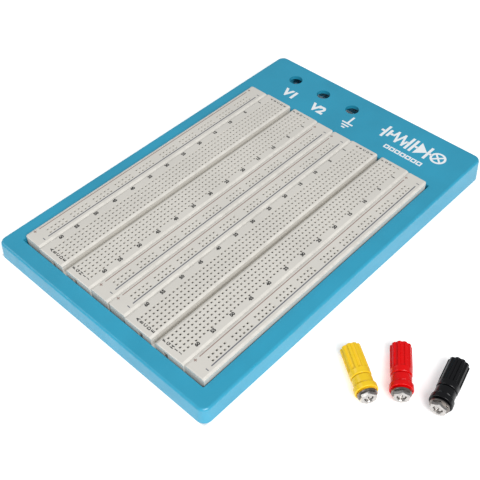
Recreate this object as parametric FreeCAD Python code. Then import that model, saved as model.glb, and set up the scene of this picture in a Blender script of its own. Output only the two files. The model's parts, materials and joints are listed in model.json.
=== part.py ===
"""Solderless breadboard: two 840-point boards in a moulded console tray, with three
loose 4 mm binding posts lying beside it.  Millimetres, +Z up.  The origin is on the
floor under the middle of the tray; X runs across the boards, Y from the low front
edge to the high back edge.  Every separate piece is one STEP file in parts/."""
import FreeCAD
import Part
import math
import os

V = FreeCAD.Vector

# ---------------------------------------------------------------- tie-point grid
pitch = 2.54                  # hole to hole
rows = 64                     # rows of each terminal strip
bank_holes = 5                # holes joined by one terminal clip
bank_gap = 7.62               # last hole of one bank to the first of the other
bus_groups = 10               # groups of five holes along a bus column
bus_group_step = 6 * pitch
bus_middle_extra = pitch      # the step across the middle is one row longer

# ---------------------------------------------------------------- strips
strip_height = 8.5
terminal_width = 39.2
terminal_length = 172.0
bus_width = 12.4
bus_length = 171.0
board_width = terminal_width + 2 * bus_width
long_edge_bevel = (1.3, 0.55)           # across, down
end_edge_bevel = (0.5, 0.4)
bus_corner_radius = 2.0
groove_levels = ((5.2, 0.0), (2.9, 0.7), (2.8, 5.0))    # (width, depth): lips, chamfer, floor
hole_mouth, hole_throat, roof = 1.5, 0.95, 0.9
slot_width = 1.7                        # pocket for one clip, along Y
slot_end_room = 1.35                    # pocket beyond the outer holes, along X
rail_channel_width = 1.9
end_notch = (3.0, 3.5, 1.8)             # wide, deep, below the top
end_notch_places = (-8.8, 8.0)          # from the strip's middle
dovetail = (4.0, 5.2, 1.2, 5.0)         # neck, head, reach, height
dovetail_places = (-60.0, 0.0, 60.0)
dovetail_room = 0.06

# ---------------------------------------------------------------- spring contacts
sheet = 0.22                  # contact metal
clip_base = 1.3               # outside width of the clip's web
clip_mouth = 0.3              # gap between facing finger tips, outside width
clip_tip_height = 7.0
clip_web_lift = 0.1
finger_width = 1.9
finger_root = 1.9
clip_end = 0.95               # clip beyond the outer holes' centres
rail_end = 1.4

# ---------------------------------------------------------------- tray
tray_width = 148.0            # at the top face
tray_length = 222.0
deck_front = 10.6             # top face above the floor, front and back
deck_back = 14.8
draft = math.radians(3.0)
corner_radius = 4.5
top_round = 1.4
wall = 2.2
deck_thickness = 2.2
tray_lift = 0.8               # the wall's lower rim stands this far off the floor
front_margin = 10.0           # board field to the front wall
proud = 3.1                   # board tops above the tray's top face
pad_thickness = 0.8
field_gap = 0.8               # dark gap between the boards and the pocket
pocket_floor = 2.0
pocket_wall = 1.9

# ---------------------------------------------------------------- post holes, feet
post_hole_radius = 4.1
post_hole_places = (-50.5, -28.5, -6.5)
post_hole_from_back = 14.5
foot_radius = 5.5
foot_height = 2.0
foot_boss_radius = 7.0
foot_inset = 10.0             # foot centre to the tray's top outline
snug = 0.03                   # radial room between round pieces that stay together

# ---------------------------------------------------------------- binding posts
# s is measured along a post: 0 on the collar's seat, + towards the knob.
post_lie_height = 5.5
nut_end_s = -3.6
knob_top_s = 24.2
posts = {                     # middle of the lying post on the floor, heading of +s
    "yellow": (107.9, -45.9, 145.0),
    "red": (121.2, -32.4, 125.9),
    "black": (141.1, -24.5, 103.1),
}
collar_length = 7.2
collar_radius = 5.5
collar_neck_radius = 4.8
boss_radius, boss_length = 4.0, 0.8
seat_recess_radius, seat_recess_depth = 4.8, 0.7
stud_radius = 2.0
stud_end_s = -2.9
flange_radius, flange_thickness = 4.0, 1.0
barrel_radius = 2.9
barrel_top_s = 22.0
socket_radius, socket_depth = 2.05, 10.5
wire_hole_radius, wire_hole_s = 0.9, 9.2
running_clearance = 0.04
insert_radius = 3.8
insert_bottom_s, insert_top_s = 7.8, 14.0
knob_bottom_s = 7.6
knob_radius = 5.1
knob_skirt_length = 2.6
knob_inner_radius = 3.25
knob_roof = 1.6
knob_mouth_radius = 2.8
flutes = 10
flute_radius, flute_depth = 0.95, 0.55
washer_radius, washer_bore, washer_thickness = 4.6, 2.1, 0.8
washer_slit = 0.7
nut_flats, nut_thickness = 7.0, 2.0
nut_chamfer = 0.35

# ---------------------------------------------------------------- derived
slope = math.atan2(deck_back - deck_front, tray_length)
deck_middle = (deck_back + deck_front) / 2
field_middle_y = front_margin + terminal_length / 2 - tray_length / 2
board_centres = {"left": -board_width / 2, "right": board_width / 2}
strip_bottom = proud - strip_height
pad_bottom = strip_bottom - pad_thickness
bank_width = (bank_holes - 1) * pitch
bank_offset = bank_gap / 2 + bank_width / 2
deep = 30.0                   # longer than anything it has to cut through


def box(x0, x1, y0, y1, z0, z1):
    return Part.makeBox(x1 - x0, y1 - y0, z1 - z0, V(x0, y0, z0))


def prism(points, move):
    """A solid swept by the vector move from the closed outline of points."""
    outline = Part.makePolygon([V(*p) for p in points] + [V(*points[0])])
    return Part.Face(outline).extrude(V(*move))


def frustum(half_low, half_high, z_low, z_high):
    """A square funnel on the Z axis, given half widths at its two ends."""
    rings = []
    for half, z in ((half_low, z_low), (half_high, z_high)):
        corners = [V(-half, -half, z), V(half, -half, z), V(half, half, z), V(-half, half, z)]
        rings.append(Part.makePolygon(corners + corners[:1]))
    return Part.makeLoft(rings, True, True)


def ring(inner, outer, z0, z1):
    body = Part.makeCylinder(outer, z1 - z0, V(0, 0, z0))
    return body.cut(Part.makeCylinder(inner, z1 - z0 + 2, V(0, 0, z0 - 1)))


def copies(shape, places):
    """Copies of one shape moved to each place."""
    made = []
    for place in places:
        piece = shape.copy()
        piece.translate(V(*place))
        made.append(piece)
    return made


def on_deck(shape):
    """Carries a shape from the tray's sloping top face to the object's frame."""
    moved = shape.copy()
    moved.rotate(V(0, 0, 0), V(1, 0, 0), math.degrees(slope))
    moved.translate(V(0, 0, deck_middle))
    return moved


def row_places():
    return [(row - (rows - 1) / 2) * pitch for row in range(rows)]


def bus_hole_places():
    """Y of the fifty holes of a bus column, from the strip's middle."""
    places = []
    half = bus_groups // 2
    first = bus_group_step * (half - 1) + 4 * pitch + (bus_group_step + bus_middle_extra - 4 * pitch) / 2
    for group in range(bus_groups):
        start = -first + group * bus_group_step + (bus_middle_extra if group >= half else 0)
        places += [start + hole * pitch for hole in range(5)]
    return places


# ---------------------------------------------------------------- strips
def beveled_slab(width, length, height):
    """A strip blank with bevelled upper edges, its top at height."""
    across, down = long_edge_bevel
    half = width / 2
    section = [(-half, 0), (half, 0), (half, height - down), (half - across, height),
               (across - half, height), (-half, height - down)]
    slab = prism([(x, -length / 2, z) for x, z in section], (0, length, 0))
    along, drop = end_edge_bevel
    for end in (-1, 1):
        y = end * length / 2
        corner = [(y + end, height - drop), (y, height - drop), (y - end * along, height),
                  (y - end * along, height + 1), (y + end, height + 1)]
        slab = slab.cut(prism([(-half - 1, a, b) for a, b in corner], (width + 2, 0, 0)))
    return slab


def hole_funnel():
    return frustum(hole_throat / 2, hole_mouth / 2 + 0.06, strip_height - roof, strip_height + 0.1)


def dovetail_prism(side, y, extra):
    """A dovetail pointing along +X or -X from x = 0, larger all round by extra."""
    neck, head, reach, height = dovetail
    out = side * (reach + extra)
    plan = [(-side * 0.01, y - neck / 2 - extra), (out, y - head / 2 - extra),
            (out, y + head / 2 + extra), (-side * 0.01, y + neck / 2 + extra)]
    return prism([(a, b, 0) for a, b in plan], (0, 0, height + extra))


def terminal_strip():
    """One terminal strip about its own middle, its underside at z = 0."""
    half_slot = bank_width / 2 + slot_end_room
    slot = box(-half_slot, half_slot, -slot_width / 2, slot_width / 2, -1, strip_height - roof)
    columns = [((i - (bank_holes - 1) / 2) * pitch, 0, 0) for i in range(bank_holes)]
    row_tool = slot.multiFuse(copies(hole_funnel(), columns))
    places = [(side * bank_offset, y, 0) for side in (-1, 1) for y in row_places()]
    above = 1.0
    side_of_groove = [(groove_levels[0][0] / 2, -deep * 3, strip_height + above)]
    side_of_groove += [(width / 2, -deep * 3, strip_height - depth) for width, depth in groove_levels]
    groove = prism(side_of_groove + [(-x, y, z) for x, y, z in reversed(side_of_groove)], (0, deep * 6, 0))
    wide, into, below = end_notch
    notches = [box(x - wide / 2, x + wide / 2, -terminal_length / 2 - 1, -terminal_length / 2 + into,
                   -1, strip_height - below) for x in end_notch_places]
    tails = []
    for side in (-1, 1):
        for y in dovetail_places:
            tail = dovetail_prism(-side, y, dovetail_room)
            tail.translate(V(side * terminal_width / 2, 0, -dovetail_room))
            tails.append(tail)
    blank = beveled_slab(terminal_width, terminal_length, strip_height).cut([groove] + notches + tails)
    return blank.cut(Part.makeCompound(copies(row_tool, places)))


def bus_strip():
    """One bus strip with its dovetails on the +X side and a rounded corner at -X, -Y."""
    blank = beveled_slab(bus_width, bus_length, strip_height)
    x, y, r = -bus_width / 2, -bus_length / 2, bus_corner_radius
    corner = box(x - 1, x + r, y - 1, y + r, -1, strip_height + 1)
    corner = corner.cut(Part.makeCylinder(r, strip_height + 4, V(x + r, y + r, -2)))
    blank = blank.cut(corner)
    hole_y = bus_hole_places()
    reach = rail_end + 0.3
    tools = []
    for column in (-pitch / 2, pitch / 2):
        channel = box(column - rail_channel_width / 2, column + rail_channel_width / 2,
                      hole_y[0] - reach, hole_y[-1] + reach, -1, strip_height - roof)
        tools.append(channel)
    for column in (-pitch / 2, pitch / 2):
        tools += copies(hole_funnel(), [(column, place, -0.001) for place in hole_y])
    blank = blank.cut(Part.makeCompound(tools[:2])).cut(Part.makeCompound(tools[2:]))
    tails = [dovetail_prism(1, place, 0) for place in dovetail_places]
    for tail in tails:
        tail.translate(V(bus_width / 2, 0, 0))
    return blank.multiFuse(tails).removeSplitter()


# ---------------------------------------------------------------- spring contacts
def spring_section(axis):
    """Outline of a contact across its fingers: a web with two walls leaning together."""
    half, tip, z0, z1 = clip_base / 2, clip_mouth / 2, clip_web_lift, clip_tip_height
    lean = sheet * math.hypot(1, (half - tip) / (z1 - z0))
    inner_z = z0 + sheet
    run = (half - tip) * (inner_z - z0) / (z1 - z0)
    outline = [(-half, z0), (half, z0), (tip + lean, z1), (tip, z1), (half - run - lean, inner_z),
               (-half + run + lean, inner_z), (-tip, z1), (-tip - lean, z1)]
    if axis == "x":
        return [(0, a, b) for a, b in outline]
    return [(a, 0, b) for a, b in outline]


def terminal_clip():
    """Five finger pairs on one web, lying along X."""
    length = bank_width + 2 * clip_end
    clip = prism(spring_section("x"), (length, 0, 0))
    clip.translate(V(-length / 2, 0, 0))
    gap = pitch - finger_width
    slits = []
    for i in range(bank_holes - 1):
        x = (i + 0.5 - (bank_holes - 1) / 2) * pitch
        slits.append(box(x - gap / 2, x + gap / 2, -2, 2, finger_root, clip_tip_height + 1))
    return clip.cut(slits)


def bus_rail():
    """Fifty finger pairs on one long web, lying along Y."""
    hole_y = bus_hole_places()
    start, end = hole_y[0] - rail_end, hole_y[-1] + rail_end
    rail = prism(spring_section("y"), (0, end - start, 0))
    rail.translate(V(0, start, 0))
    edges = [place + side * finger_width / 2 for place in hole_y for side in (-1, 1)]
    gaps = [(start - 1, edges[0])] + list(zip(edges[1::2], edges[2::2])) + [(edges[-1], end + 1)]
    return rail.cut([box(-2, 2, a, b, finger_root, clip_tip_height + 1) for a, b in gaps])


# ---------------------------------------------------------------- tray
def rounded_outline(width, length, radius, z):
    w, l, r = width / 2 - radius, length / 2 - radius, radius
    edges = []
    corners = [(w, l, 0), (-w, l, 90), (-w, -l, 180), (w, -l, 270)]
    for i, (cx, cy, turn) in enumerate(corners):
        a0, a1 = math.radians(turn), math.radians(turn + 90)
        mid = (a0 + a1) / 2
        spots = [V(cx + r * math.cos(a), cy + r * math.sin(a), z) for a in (a0, mid, a1)]
        edges.append(Part.Arc(*spots).toShape())
        nx, ny, nt = corners[(i + 1) % 4]
        b0 = math.radians(nt)
        edges.append(Part.makeLine(spots[2], V(nx + r * math.cos(b0), ny + r * math.sin(b0), z)))
    return Part.Wire(edges)


def flared_block(inset, z_top, z_low):
    """A rounded block whose walls flare by the draft, inset from the tray's outline."""
    outlines = []
    for z in (z_low, z_top):
        spread = 2 * (-z * math.tan(draft) - inset)
        radius = max(corner_radius - inset - z * math.tan(draft), 1.0)
        outlines.append(rounded_outline(tray_width + spread, tray_length + spread, radius, z))
    return Part.makeLoft(outlines, True, True)


def top_edges(solid, z):
    return [e for e in solid.Edges if e.BoundBox.ZMin > z - 0.01]


def below_rim():
    """Everything under the tray's level lower rim, in the deck's frame."""
    under = Part.makeBox(400, 400, deep, V(-200, -200, tray_lift - deep))
    under.translate(V(0, 0, -deck_middle))
    under.rotate(V(0, 0, 0), V(1, 0, 0), -math.degrees(slope))
    return under


def foot_spots():
    x, y = tray_width / 2 - foot_inset, tray_length / 2 - foot_inset
    return {"front_left": (-x, -y), "front_right": (x, -y), "back_left": (-x, y), "back_right": (x, y)}


def deck_at(y):
    """Height of the tray's top face above the floor."""
    return deck_middle + y * math.tan(slope)


def upright(radius, z0, z1, spot):
    """A cylinder standing square to the floor, given in the object's frame."""
    return Part.makeCylinder(radius, z1 - z0, V(spot[0], spot[1], z0))


def tray():
    body = flared_block(0, 0, -deep)
    body = body.makeFillet(top_round, top_edges(body, 0))
    half_x = board_width + field_gap
    half_y = terminal_length / 2 + field_gap
    pocket_z = pad_bottom
    out_x, out_y = half_x + pocket_wall, half_y + pocket_wall
    well = box(-out_x, out_x, field_middle_y - out_y, field_middle_y + out_y, pocket_z - pocket_floor, 1)
    hollow = flared_block(wall, -deck_thickness, -deep - 1).cut(well)
    hole_y = tray_length / 2 - post_hole_from_back
    holes = [Part.makeCylinder(post_hole_radius, deep, V(x, hole_y, -deep / 2)) for x in post_hole_places]
    body = on_deck(body.cut([hollow, below_rim()] + holes))
    pocket = box(-half_x, half_x, field_middle_y - half_y, field_middle_y + half_y, pocket_z, 10)
    bosses = [upright(foot_boss_radius, tray_lift, deck_at(spot[1]) - 1, spot) for spot in foot_spots().values()]
    seats = [upright(foot_radius + snug, tray_lift - 1, foot_height, spot) for spot in foot_spots().values()]
    return body.multiFuse(bosses).cut([on_deck(pocket)] + seats)


def foot(spot):
    pad = Part.makeCylinder(foot_radius, foot_height)
    rim = [e for e in pad.Edges if e.BoundBox.ZMax < 0.01 and e.Curve.TypeId == "Part::GeomCircle"]
    pad = pad.makeFillet(0.4, rim)
    pad.translate(V(spot[0], spot[1], 0))
    return pad


# ---------------------------------------------------------------- binding posts
def turned(points):
    """A solid of revolution about Z from (radius, height) points."""
    outline = Part.makePolygon([V(r, 0, z) for r, z in points] + [V(points[0][0], 0, points[0][1])])
    return Part.Face(outline).revolve(V(0, 0, 0), V(0, 0, 1), 360)


def stud():
    flange_z = collar_length - flange_thickness
    body = turned([(0, stud_end_s), (stud_radius, stud_end_s), (stud_radius, flange_z), (flange_radius, flange_z),
                   (flange_radius, collar_length), (barrel_radius, collar_length),
                   (barrel_radius, barrel_top_s), (0, barrel_top_s)])
    socket = Part.makeCylinder(socket_radius, socket_depth + 1, V(0, 0, barrel_top_s - socket_depth))
    wire_hole = Part.makeCylinder(wire_hole_radius, 20, V(-10, 0, wire_hole_s), V(1, 0, 0))
    return body.cut([socket, wire_hole])


def collar():
    foot_ring, groove_z, c = 2.7, 0.45, 0.5
    bore, flange_bore = stud_radius + snug, flange_radius + snug
    return turned([
        (bore, -boss_length), (boss_radius, -boss_length), (boss_radius, seat_recess_depth),
        (seat_recess_radius, seat_recess_depth), (seat_recess_radius, 0), (collar_radius - c, 0),
        (collar_radius, c), (collar_radius, foot_ring - c), (collar_radius - c, foot_ring),
        (collar_neck_radius - 0.25, foot_ring), (collar_neck_radius - 0.25, foot_ring + groove_z),
        (collar_neck_radius, foot_ring + groove_z + 0.2), (collar_neck_radius, collar_length - c),
        (collar_neck_radius - c, collar_length), (flange_bore, collar_length),
        (flange_bore, collar_length - flange_thickness), (bore, collar_length - flange_thickness)])


def knob_insert():
    return ring(barrel_radius + running_clearance, insert_radius, insert_bottom_s, insert_top_s)


def knob_shell():
    c = 0.5
    bore = insert_radius + running_clearance
    skirt_top = knob_bottom_s + knob_skirt_length
    step = insert_top_s + 0.05
    body = turned([
        (bore, knob_bottom_s), (knob_radius - c, knob_bottom_s), (knob_radius - 0.1, knob_bottom_s + c),
        (knob_radius - 0.1, skirt_top - 0.3), (knob_radius, skirt_top), (knob_radius, knob_top_s - c),
        (knob_radius - c, knob_top_s), (knob_mouth_radius, knob_top_s),
        (knob_mouth_radius, knob_top_s - knob_roof), (knob_inner_radius, knob_top_s - knob_roof),
        (knob_inner_radius, step), (bore, step)])
    cuts = []
    for i in range(flutes):
        turn = 2 * math.pi * i / flutes
        reach = knob_radius + flute_radius - flute_depth
        centre = V(reach * math.cos(turn), reach * math.sin(turn), skirt_top + 0.4)
        cuts.append(Part.makeCylinder(flute_radius, knob_top_s, centre))
    return body.cut(cuts)


def lock_washer():
    z0 = -boss_length - washer_thickness
    body = ring(washer_bore, washer_radius, z0, -boss_length)
    slit = box(0, 10, -washer_slit / 2, washer_slit / 2, z0 - 1, 1)
    slit.rotate(V(0, 0, 0), V(0, 0, 1), 30)
    return body.cut(slit)


def hex_nut():
    top = -boss_length - washer_thickness
    low = top - nut_thickness
    corner = nut_flats / math.sqrt(3)
    plan = [(corner * math.cos(math.radians(60 * i)), corner * math.sin(math.radians(60 * i)), low)
            for i in range(6)]
    body = prism(plan, (0, 0, nut_thickness))
    cone = turned([(0, low), (corner - nut_chamfer, low), (corner, low + nut_chamfer * 0.6),
                   (corner, top - nut_chamfer * 0.6), (corner - nut_chamfer, top), (0, top)])
    return body.common(cone).cut(Part.makeCylinder(stud_radius + snug, deep, V(0, 0, -deep / 2)))


def laid_down(shape, place):
    """Lays a post's piece on the floor, its middle and heading from place."""
    x, y, heading = place
    moved = shape.copy()
    moved.translate(V(0, 0, -(knob_top_s + nut_end_s) / 2))
    moved.rotate(V(0, 0, 0), V(0, 1, 0), 90)
    moved.rotate(V(0, 0, 0), V(0, 0, 1), heading)
    moved.translate(V(x, y, post_lie_height))
    return moved


# ---------------------------------------------------------------- all nodes
def board_nodes():
    """Strips, contacts and pads of both boards, on the deck's frame."""
    nodes = {}
    strip, bus = terminal_strip(), bus_strip()
    clip, rail = terminal_clip(), bus_rail()
    turned_bus = bus.copy()
    turned_bus.rotate(V(0, 0, 0), V(0, 0, 1), 180)
    for side, x in board_centres.items():
        at = (x, field_middle_y, strip_bottom)
        nodes[side + "_terminal_strip"] = copies(strip, [at])[0]
        for bank, sign in (("a_to_e", -1), ("f_to_j", 1)):
            places = [(x + sign * bank_offset, field_middle_y + y, strip_bottom) for y in row_places()]
            nodes[side + "_terminal_clips_" + bank] = Part.makeCompound(copies(clip, places))
        step = (terminal_width + bus_width) / 2
        for name, shape, bus_x in (("left", bus, x - step), ("right", turned_bus, x + step)):
            label = side + "_board_" + name
            nodes[label + "_bus_strip"] = copies(shape, [(bus_x, field_middle_y, strip_bottom)])[0]
            pair = [(bus_x + c, field_middle_y, strip_bottom) for c in (-pitch / 2, pitch / 2)]
            nodes[label + "_bus_rails"] = Part.makeCompound(copies(rail, pair))
        nodes[side + "_adhesive_pad"] = box(x - board_width / 2 + 0.3, x + board_width / 2 - 0.3,
                                            field_middle_y - bus_length / 2, field_middle_y + bus_length / 2,
                                            pad_bottom, strip_bottom)
    return {name: on_deck(shape) for name, shape in nodes.items()}


def post_nodes():
    pieces = {"stud": stud(), "collar": collar(), "knob_insert": knob_insert(), "knob": knob_shell(),
              "lock_washer": lock_washer(), "hex_nut": hex_nut()}
    return {colour + "_post_" + name: laid_down(shape, place)
            for colour, place in posts.items() for name, shape in pieces.items()}


def all_nodes():
    nodes = {"base_tray": tray()}
    nodes.update(board_nodes())
    for name, spot in foot_spots().items():
        nodes[name + "_rubber_foot"] = foot(spot)
    nodes.update(post_nodes())
    return nodes


os.makedirs("parts", exist_ok=True)
for node, shape in all_nodes().items():
    shape.exportStep("parts/" + node + ".step")
    size = os.path.getsize("parts/" + node + ".step") / 1e6
    print(node, "solids", len(shape.Solids), "valid", shape.isValid(), "mm3 %.1f" % shape.Volume,
          "MB %.2f" % size)
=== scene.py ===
# %% [markdown]
# # A solderless breadboard console and its three binding posts
#
# The real object is a shallow blue tray that slopes up towards the back, with two
# off-white breadboards side by side in a pocket, and three 4 mm binding posts that
# have not been screwed into the tray yet. The frame already holds every piece at its
# true size. This script gives each visible piece a finer mesh and a finish of its own.

# %% Load the frame
import bmesh
import bpy
import json
import math
from mathutils import Matrix, Vector


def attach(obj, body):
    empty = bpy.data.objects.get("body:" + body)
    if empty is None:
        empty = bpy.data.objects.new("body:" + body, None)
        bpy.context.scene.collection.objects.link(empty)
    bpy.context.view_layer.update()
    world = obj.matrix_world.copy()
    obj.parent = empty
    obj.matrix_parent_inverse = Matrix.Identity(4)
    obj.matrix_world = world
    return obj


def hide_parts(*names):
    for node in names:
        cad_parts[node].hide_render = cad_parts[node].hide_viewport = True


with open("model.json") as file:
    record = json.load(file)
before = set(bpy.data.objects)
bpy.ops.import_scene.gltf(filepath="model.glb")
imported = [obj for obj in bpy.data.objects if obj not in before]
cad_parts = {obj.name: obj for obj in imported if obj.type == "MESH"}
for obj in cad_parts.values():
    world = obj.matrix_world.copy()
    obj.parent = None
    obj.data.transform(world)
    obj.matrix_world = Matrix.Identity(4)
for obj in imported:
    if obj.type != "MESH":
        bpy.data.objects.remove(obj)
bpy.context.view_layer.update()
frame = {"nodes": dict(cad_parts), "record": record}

# %% [markdown]
# ## Where things are
#
# The tray's top face leans back by about a degree. Its lean and height could be typed
# in again, but the mounts of the frame's record already say them: a post hole's axis
# is square to that face, and the hole is centred half way through its thickness. One
# matrix then carries anything drawn on a level sheet, in millimetres, onto the face.

# %% The deck's matrix, from the post holes
mounts = {mount["name"]: mount for mount in frame["record"]["mounts"]}
hole_names = ("first_post_hole", "second_post_hole", "third_post_hole")
deck_up = Vector(mounts[hole_names[0]]["axis"])
deck_lean = math.atan2(-deck_up.y, deck_up.z)
deck_thickness = mounts[hole_names[0]]["dims"]["length_mm"]
on_face = Vector(mounts[hole_names[0]]["pos_m"]) * 1000 + deck_up * deck_thickness / 2
deck_height = on_face.z - on_face.y * math.tan(deck_lean)
deck = Matrix.Translation((0, 0, deck_height)) @ Matrix.Rotation(deck_lean, 4, "X")
to_metres = Matrix.Scale(0.001, 4)
print("the deck leans %.2f degrees and stands %.1f mm high" % (math.degrees(deck_lean), deck_height))

# %% [markdown]
# ## Small shaping helpers
#
# Most pieces start as a block, as a flat outline pushed up into a prism, or as a
# profile spun about an axis. Each helper returns a bmesh in millimetres, so that the
# same few lines serve a tray, a nut and a printed letter.

# %% Blocks, prisms and turned shapes
def block(x0, x1, y0, y1, z0, z1):
    bm = bmesh.new()
    middle = Matrix.Translation(((x0 + x1) / 2, (y0 + y1) / 2, (z0 + z1) / 2))
    bmesh.ops.create_cube(bm, size=1, matrix=middle @ Matrix.Diagonal((x1 - x0, y1 - y0, z1 - z0, 1)))
    return bm


def pushed(bm, face, move):
    """Extrudes a face by a vector and returns the vertices of its far end."""
    grown = bmesh.ops.extrude_face_region(bm, geom=[face])["geom"]
    far = [item for item in grown if isinstance(item, bmesh.types.BMVert)]
    bmesh.ops.translate(bm, verts=far, vec=move)
    return far


def prism(points, move):
    """A flat outline of (x, y, z) corners pushed along move."""
    bm = bmesh.new()
    pushed(bm, bm.faces.new([bm.verts.new(point) for point in points]), move)
    bmesh.ops.recalc_face_normals(bm, faces=bm.faces)
    return bm


def plate(points, low, high):
    """A plan of (x, y) corners with its thickness from low to high."""
    return prism([(x, y, low) for x, y in points], (0, 0, high - low))


def turned(profile, steps=48):
    """A solid of revolution about Z from (radius, height) corners."""
    bm = bmesh.new()
    corners = [bm.verts.new((radius, 0, height)) for radius, height in profile]
    edges = [bm.edges.new(pair) for pair in zip(corners, corners[1:])]
    if min(radius for radius, height in profile) > 0:
        edges.append(bm.edges.new((corners[-1], corners[0])))
    bmesh.ops.spin(bm, geom=corners + edges, axis=(0, 0, 1), cent=(0, 0, 0), angle=2 * math.pi,
                   steps=steps, use_merge=True)
    bmesh.ops.remove_doubles(bm, verts=bm.verts, dist=1e-4)
    bmesh.ops.recalc_face_normals(bm, faces=bm.faces)
    return bm


def rod(radius, low, high, spot=(0, 0), steps=48):
    """A round bar standing on a spot."""
    bm = turned([(0, low), (radius, low), (radius, high), (0, high)], steps)
    bmesh.ops.translate(bm, verts=bm.verts, vec=(spot[0], spot[1], 0))
    return bm


# %% [markdown]
# ## Soft edges, copies and cuts
#
# Moulded plastic never has a knife edge, so sharp edges are bevelled before a blank
# is cut. Rows of holes could be built face by face, but a real mould forms them with
# pins, and a Boolean modifier works the same way: the pins are one tool, subtracted
# from the blank. The manifold solver is quick and keeps the result closed.

# %% Bevels, copies and Boolean cuts
def soften(bm, width, segments=2, over=30):
    """Bevels the edges that turn by more than a number of degrees."""
    sharp = [edge for edge in bm.edges if edge.is_manifold and edge.calc_face_angle() > math.radians(over)]
    bmesh.ops.bevel(bm, geom=sharp, offset=width, offset_type="OFFSET", affect="EDGES", segments=segments,
                    profile=0.5, material=-1, clamp_overlap=True)
    return bm


def copied(bm, moves):
    """Adds a copy of everything in bm at each move, beside the first."""
    first = bm.verts[:] + bm.edges[:] + bm.faces[:]
    for move in moves:
        made = bmesh.ops.duplicate(bm, geom=first)["geom"]
        corners = [item for item in made if isinstance(item, bmesh.types.BMVert)]
        bmesh.ops.translate(bm, verts=corners, vec=move)
    return bm


def gathered(*parts):
    """Several bmeshes as one, which keeps them as separate closed shells."""
    whole = bmesh.new()
    for part in parts:
        sheet = bpy.data.meshes.new("gathered")
        part.to_mesh(sheet)
        whole.from_mesh(sheet)
        part.free()
        bpy.data.meshes.remove(sheet)
    return whole


def worked(blank, *steps):
    """Cuts tools from a blank, or joins them on, with Boolean modifiers."""
    shapes = [blank] + [tool for operation, tool in steps]
    objects = []
    for shape in shapes:
        mesh = bpy.data.meshes.new("worked")
        shape.to_mesh(mesh)
        shape.free()
        objects.append(bpy.data.objects.new("worked", mesh))
        bpy.context.scene.collection.objects.link(objects[-1])
    for (operation, tool), cutter in zip(steps, objects[1:]):
        modifier = objects[0].modifiers.new(operation, "BOOLEAN")
        modifier.operation = operation
        modifier.solver = "MANIFOLD"
        modifier.object = cutter
    graph = bpy.context.evaluated_depsgraph_get()
    result = bmesh.new()
    result.from_mesh(objects[0].evaluated_get(graph).to_mesh())
    for made in objects:
        bpy.data.meshes.remove(made.data)
    return result


# %% [markdown]
# ## Finishing a piece
#
# A finished piece keeps its own bench coordinates as an attribute before it is laid
# in its place, so that grain, turning marks and wear follow the piece and not the
# room. Another attribute marks the rounded edges, where handling polishes plastic and
# where the finishes paint a lighter colour, partly wear and partly a painted highlight.
# Smooth shading with weighted normals keeps flat faces flat beside their bevels.

# %% Turning a bmesh into a piece of the object
made_triangles = {}
upright, level = 0.12, 0.985  # between these, a normal's Z tells a rounded edge from a flat face


def piece(name, bm, place, body, finish, stands_for=(), crease=32, smallest_worn_and_highlit=0.0):
    mesh = bpy.data.meshes.new(name)
    bm.to_mesh(mesh)
    bm.free()
    bench = mesh.attributes.new("on_bench", "FLOAT_VECTOR", "POINT")
    for spot, vertex in zip(bench.data, mesh.vertices):
        spot.vector = vertex.co
    # this mark lightens rounded edges in the finishes: partly wear, partly a painted highlight
    edge = mesh.attributes.new("rounded_edge", "FLOAT", "FACE")
    for mark, polygon in zip(edge.data, mesh.polygons):
        rounded = upright < abs(polygon.normal.z) < level and polygon.area > smallest_worn_and_highlit
        mark.value = 1.0 if rounded else 0.0
    mesh.transform(to_metres @ place)
    mesh.shade_smooth()
    mesh.set_sharp_from_angle(angle=math.radians(crease))
    mesh.materials.append(finish)
    made = bpy.data.objects.new(name, mesh)
    bpy.context.scene.collection.objects.link(made)
    made.modifiers.new("weighted normals", "WEIGHTED_NORMAL").keep_sharp = True
    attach(made, body)
    if stands_for:
        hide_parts(*stands_for)
    mesh.calc_loop_triangles()
    made_triangles[name] = len(mesh.loop_triangles)
    return made


# %% [markdown]
# ## Writing shader maths in plain Python
#
# A finish is a small tree of nodes. Naming every node would bury the idea, so one
# class wraps a socket and lets ordinary arithmetic add the Math nodes, and one method
# adds any other node with its settings first and its sockets after.

# %% A socket that can be added and multiplied, and a finish that holds the tree
class Wire:
    def __init__(self, finish, socket):
        self.finish = finish
        self.socket = socket

    def maths(self, operation, *values):
        return self.finish.add("ShaderNodeMath", {"operation": operation}, dict(enumerate(values)))

    def __add__(self, other):
        return self.maths("ADD", self, other)

    def __radd__(self, other):
        return self.maths("ADD", other, self)

    def __sub__(self, other):
        return self.maths("SUBTRACT", self, other)

    def __rsub__(self, other):
        return self.maths("SUBTRACT", other, self)

    def __mul__(self, other):
        return self.maths("MULTIPLY", self, other)

    def __rmul__(self, other):
        return self.maths("MULTIPLY", other, self)


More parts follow.
